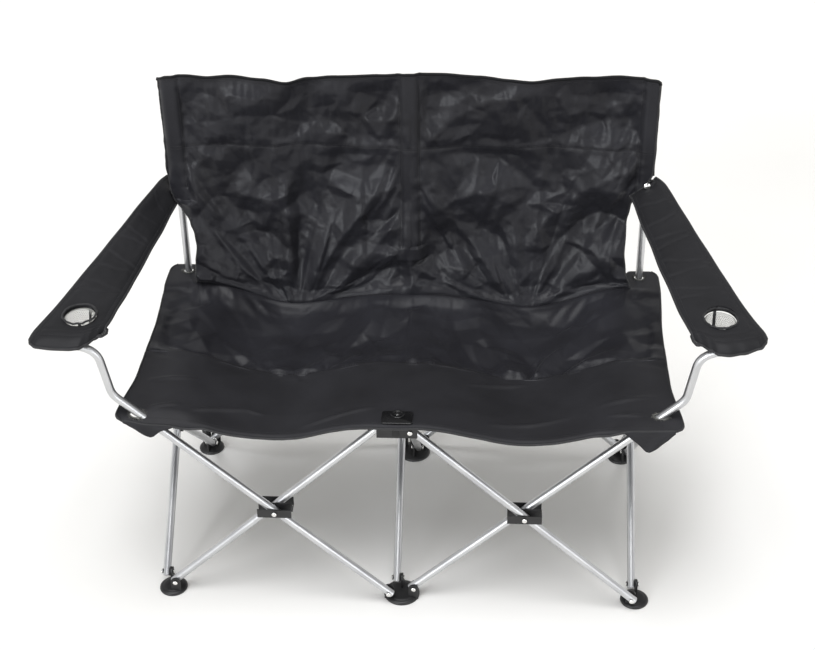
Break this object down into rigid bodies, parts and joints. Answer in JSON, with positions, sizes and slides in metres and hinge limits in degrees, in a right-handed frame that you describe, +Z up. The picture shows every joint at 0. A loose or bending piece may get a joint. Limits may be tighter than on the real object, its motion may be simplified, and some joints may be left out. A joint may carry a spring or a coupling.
{
  "type": "folding camping loveseat",
  "caption": "Folding camping loveseat: crossed aluminium tube frame on moulded feet, slung black cloth seat and back, padded armrests with net cup holders.",
  "frame": {"origin": "on the floor under the middle of the bounding box", "axes": "+X to the right of someone facing the chair, -Y out of the front, +Z up"},
  "size_m": [1.36, 0.5745, 0.948],
  "materials": {
    "tube": "satin anodised",
    "plastic": "fine moulded texture",
    "rivet": "bright zinc plated",
    "cloth": "coated woven nylon, slight sheen",
    "net": "open knitted net"
  },
  "bodies": {
    "rear_centre": {"foot_rear_centre": "plastic", "back_post_centre": "tube", "post_cap_centre": "plastic", "back": "cloth"},
    "side_rear_centre": {"side_rear_tube_centre": "tube", "side_spacer_centre": "plastic", "side_rivet_centre": "rivet"},
    "side_front_centre": {"side_front_tube_centre": "tube"},
    "foot_front_centre": {"foot_front_centre": "plastic"},
    "front_hub": {"front_hub": "plastic", "seat_clamp": "plastic", "seat_screw": "rivet"},
    "arm_tube_left": {"arm_tube_left": "tube", "arm_plug_left": "plastic"},
    "block_front_left": {"cross_block_front_left": "plastic", "cross_rivet_front_left": "rivet"},
    "front_tube_left": {"front_tube_left": "tube"},
    "foot_front_left": {"foot_front_left": "plastic"},
    "corner_left": {"corner_bracket_left": "plastic"},
    "rear_outer_left": {"rear_outer_tube_left": "tube"},
    "block_rear_left": {"cross_block_rear_left": "plastic", "cross_rivet_rear_left": "rivet"},
    "rear_inner_left": {"rear_inner_tube_left": "tube"},
    "foot_rear_left": {"foot_rear_left": "plastic", "back_post_left": "tube", "post_cap_left": "plastic"},
    "collar_left": {"collar_left": "plastic"},
    "side_front_left": {"side_front_tube_left": "tube", "side_spacer_left": "plastic", "side_rivet_left": "rivet"},
    "side_rear_left": {"side_rear_tube_left": "tube"},
    "arm_tube_right": {"arm_tube_right": "tube", "arm_plug_right": "plastic"},
    "block_front_right": {"cross_block_front_right": "plastic", "cross_rivet_front_right": "rivet"},
    "front_tube_right": {"front_tube_right": "tube"},
    "foot_front_right": {"foot_front_right": "plastic"},
    "corner_right": {"corner_bracket_right": "plastic"},
    "rear_outer_right": {"rear_outer_tube_right": "tube"},
    "block_rear_right": {"cross_block_rear_right": "plastic", "cross_rivet_rear_right": "rivet"},
    "rear_inner_right": {"rear_inner_tube_right": "tube"},
    "foot_rear_right": {"foot_rear_right": "plastic", "back_post_right": "tube", "post_cap_right": "plastic"},
    "collar_right": {"collar_right": "plastic"},
    "side_front_right": {"side_front_tube_right": "tube", "side_spacer_right": "plastic", "side_rivet_right": "rivet"},
    "side_rear_right": {"side_rear_tube_right": "tube"},
    "collar_centre": {"collar_centre": "plastic"},
    "seat_front": {"seat_front": "cloth"},
    "seat_rear": {"seat_rear": "cloth"},
    "armrest_left": {"armrest_left": "cloth", "cup_holder_left": "net"},
    "armrest_right": {"armrest_right": "cloth", "cup_holder_right": "net"}
  },
  "joints": [
    {"name": "fold", "type": "hinge", "parent": "rear_centre", "child": "side_rear_centre", "pos_m": [0.0105, 0.23175, 0.029], "axis": [-1, 0, 0], "range_deg": [0, 43], "deforming": ["back", "seat_front", "seat_rear", "armrest_left", "armrest_right", "cup_holder_left", "cup_holder_right"]},
    {"name": "side_centre_cross", "type": "hinge", "parent": "side_rear_centre", "child": "side_front_centre", "pos_m": [0, 0.00875, 0.2375], "axis": [1, 0, 0], "range_deg": [0, 86]},
    {"name": "side_centre_front_foot", "type": "hinge", "parent": "side_front_centre", "child": "foot_front_centre", "pos_m": [-0.0105, -0.21425, 0.029], "axis": [-1, 0, 0], "range_deg": [0, 43]},
    {"name": "side_centre_hub", "type": "hinge", "parent": "side_rear_centre", "child": "front_hub", "pos_m": [0.0105, -0.21425, 0.446], "axis": [1, 0, 0], "range_deg": [0, 43]},
    {"name": "arm_tube_left_turn", "type": "hinge", "parent": "foot_front_centre", "child": "arm_tube_left", "pos_m": [-0.025, -0.24725, 0.029], "axis": [0, 1, 0], "range_deg": [0, 43]},
    {"name": "block_front_left_turn", "type": "hinge", "parent": "arm_tube_left", "child": "block_front_left", "pos_m": [-0.248, -0.24725, 0.2375], "axis": [0, -1, 0], "range_deg": [0, 43]},
    {"name": "front_tube_left_cross", "type": "hinge", "parent": "arm_tube_left", "child": "front_tube_left", "pos_m": [-0.248, -0.24725, 0.2375], "axis": [0, -1, 0], "range_deg": [0, 86]},
    {"name": "foot_front_left_turn", "type": "hinge", "parent": "front_tube_left", "child": "foot_front_left", "pos_m": [-0.471, -0.24725, 0.029], "axis": [0, 1, 0], "range_deg": [0, 43]},
    {"name": "corner_left_turn", "type": "hinge", "parent": "arm_tube_left", "child": "corner_left", "pos_m": [-0.471, -0.24725, 0.446], "axis": [0, -1, 0], "range_deg": [0, 43]},
    {"name": "rear_outer_left_turn", "type": "hinge", "parent": "rear_centre", "child": "rear_outer_left", "pos_m": [-0.025, 0.26475, 0.029], "axis": [0, 1, 0], "range_deg": [0, 43]},
    {"name": "block_rear_left_turn", "type": "hinge", "parent": "rear_outer_left", "child": "block_rear_left", "pos_m": [-0.248, 0.26475, 0.2375], "axis": [0, -1, 0], "range_deg": [0, 43]},
    {"name": "rear_inner_left_cross", "type": "hinge", "parent": "rear_outer_left", "child": "rear_inner_left", "pos_m": [-0.248, 0.26475, 0.2375], "axis": [0, -1, 0], "range_deg": [0, 86]},
    {"name": "foot_rear_left_turn", "type": "hinge", "parent": "rear_inner_left", "child": "foot_rear_left", "pos_m": [-0.471, 0.26475, 0.029], "axis": [0, 1, 0], "range_deg": [0, 43]},
    {"name": "collar_left_turn", "type": "hinge", "parent": "rear_outer_left", "child": "collar_left", "pos_m": [-0.471, 0.26475, 0.446], "axis": [0, -1, 0], "range_deg": [0, 43]},
    {"name": "side_front_left_turn", "type": "hinge", "parent": "foot_front_left", "child": "side_front_left", "pos_m": [-0.484, -0.21425, 0.029], "axis": [1, 0, 0], "range_deg": [0, 43]},
    {"name": "side_rear_left_turn", "type": "hinge", "parent": "foot_rear_left", "child": "side_rear_left", "pos_m": [-0.484, 0.23175, 0.029], "axis": [-1, 0, 0], "range_deg": [0, 43]},
    {"name": "arm_tube_right_turn", "type": "hinge", "parent": "foot_front_centre", "child": "arm_tube_right", "pos_m": [0.025, -0.24725, 0.029], "axis": [0, -1, 0], "range_deg": [0, 43]},
    {"name": "block_front_right_turn", "type": "hinge", "parent": "arm_tube_right", "child": "block_front_right", "pos_m": [0.248, -0.24725, 0.2375], "axis": [0, 1, 0], "range_deg": [0, 43]},
    {"name": "front_tube_right_cross", "type": "hinge", "parent": "arm_tube_right", "child": "front_tube_right", "pos_m": [0.248, -0.24725, 0.2375], "axis": [0, 1, 0], "range_deg": [0, 86]},
    {"name": "foot_front_right_turn", "type": "hinge", "parent": "front_tube_right", "child": "foot_front_right", "pos_m": [0.471, -0.24725, 0.029], "axis": [0, -1, 0], "range_deg": [0, 43]},
    {"name": "corner_right_turn", "type": "hinge", "parent": "arm_tube_right", "child": "corner_right", "pos_m": [0.471, -0.24725, 0.446], "axis": [0, 1, 0], "range_deg": [0, 43]},
    {"name": "rear_outer_right_turn", "type": "hinge", "parent": "rear_centre", "child": "rear_outer_right", "pos_m": [0.025, 0.26475, 0.029], "axis": [0, -1, 0], "range_deg": [0, 43]},
    {"name": "block_rear_right_turn", "type": "hinge", "parent": "rear_outer_right", "child": "block_rear_right", "pos_m": [0.248, 0.26475, 0.2375], "axis": [0, 1, 0], "range_deg": [0, 43]},
    {"name": "rear_inner_right_cross", "type": "hinge", "parent": "rear_outer_right", "child": "rear_inner_right", "pos_m": [0.248, 0.26475, 0.2375], "axis": [0, 1, 0], "range_deg": [0, 86]},
    {"name": "foot_rear_right_turn", "type": "hinge", "parent": "rear_inner_right", "child": "foot_rear_right", "pos_m": [0.471, 0.26475, 0.029], "axis": [0, -1, 0], "range_deg": [0, 43]},
    {"name": "collar_right_turn", "type": "hinge", "parent": "rear_outer_right", "child": "collar_right", "pos_m": [0.471, 0.26475, 0.446], "axis": [0, 1, 0], "range_deg": [0, 43]},
    {"name": "side_front_right_turn", "type": "hinge", "parent": "foot_front_right", "child": "side_front_right", "pos_m": [0.484, -0.21425, 0.029], "axis": [1, 0, 0], "range_deg": [0, 43]},
    {"name": "side_rear_right_turn", "type": "hinge", "parent": "foot_rear_right", "child": "side_rear_right", "pos_m": [0.484, 0.23175, 0.029], "axis": [-1, 0, 0], "range_deg": [0, 43]},
    {"name": "collar_centre_turn", "type": "hinge", "parent": "rear_inner_left", "child": "collar_centre", "pos_m": [-0.025, 0.26475, 0.446], "axis": [0, 1, 0], "range_deg": [0, 43]},
    {"name": "seat_front_hang", "type": "hinge", "parent": "front_hub", "child": "seat_front", "pos_m": [0, -0.24725, 0.464], "axis": [-1, 0, 0], "range_deg": [0, 84]},
    {"name": "seat_rear_hang", "type": "hinge", "parent": "collar_centre", "child": "seat_rear", "pos_m": [0, 0.21875, 0.452], "axis": [1, 0, 0], "range_deg": [0, 84]},
    {"name": "armrest_left_swing", "type": "hinge", "parent": "foot_rear_left", "child": "armrest_left", "pos_m": [-0.493, 0.25375, 0.698], "axis": [-0.9332, 0.21, 0.2916], "range_deg": [0, 70.52]},
    {"name": "armrest_right_swing", "type": "hinge", "parent": "foot_rear_right", "child": "armrest_right", "pos_m": [0.493, 0.25375, 0.698], "axis": [-0.9357, -0.2216, -0.2744], "range_deg": [0, 75.69]}
  ],
  "couplings": [
    {"joint": "side_centre_cross", "follows": "fold", "ratio": 2},
    {"joint": "side_centre_front_foot", "follows": "fold", "ratio": 1},
    {"joint": "side_centre_hub", "follows": "fold", "ratio": 1},
    {"joint": "arm_tube_left_turn", "follows": "fold", "ratio": 1},
    {"joint": "block_front_left_turn", "follows": "fold", "ratio": 1},
    {"joint": "front_tube_left_cross", "follows": "fold", "ratio": 2},
    {"joint": "foot_front_left_turn", "follows": "fold", "ratio": 1},
    {"joint": "corner_left_turn", "follows": "fold", "ratio": 1},
    {"joint": "rear_outer_left_turn", "follows": "fold", "ratio": 1},
    {"joint": "block_rear_left_turn", "follows": "fold", "ratio": 1},
    {"joint": "rear_inner_left_cross", "follows": "fold", "ratio": 2},
    {"joint": "foot_rear_left_turn", "follows": "fold", "ratio": 1},
    {"joint": "collar_left_turn", "follows": "fold", "ratio": 1},
    {"joint": "side_front_left_turn", "follows": "fold", "ratio": 1},
    {"joint": "side_rear_left_turn", "follows": "fold", "ratio": 1},
    {"joint": "arm_tube_right_turn", "follows": "fold", "ratio": 1},
    {"joint": "block_front_right_turn", "follows": "fold", "ratio": 1},
    {"joint": "front_tube_right_cross", "follows": "fold", "ratio": 2},
    {"joint": "foot_front_right_turn", "follows": "fold", "ratio": 1},
    {"joint": "corner_right_turn", "follows": "fold", "ratio": 1},
    {"joint": "rear_outer_right_turn", "follows": "fold", "ratio": 1},
    {"joint": "block_rear_right_turn", "follows": "fold", "ratio": 1},
    {"joint": "rear_inner_right_cross", "follows": "fold", "ratio": 2},
    {"joint": "foot_rear_right_turn", "follows": "fold", "ratio": 1},
    {"joint": "collar_right_turn", "follows": "fold", "ratio": 1},
    {"joint": "side_front_right_turn", "follows": "fold", "ratio": 1},
    {"joint": "side_rear_right_turn", "follows": "fold", "ratio": 1},
    {"joint": "collar_centre_turn", "follows": "fold", "ratio": 1},
    {"joint": "seat_front_hang", "follows": "fold", "ratio": 1.9535},
    {"joint": "seat_rear_hang", "follows": "fold", "ratio": 1.9535},
    {"joint": "armrest_left_swing", "follows": "fold", "ratio": 1.6399},
    {"joint": "armrest_right_swing", "follows": "fold", "ratio": 1.7602}
  ]
}
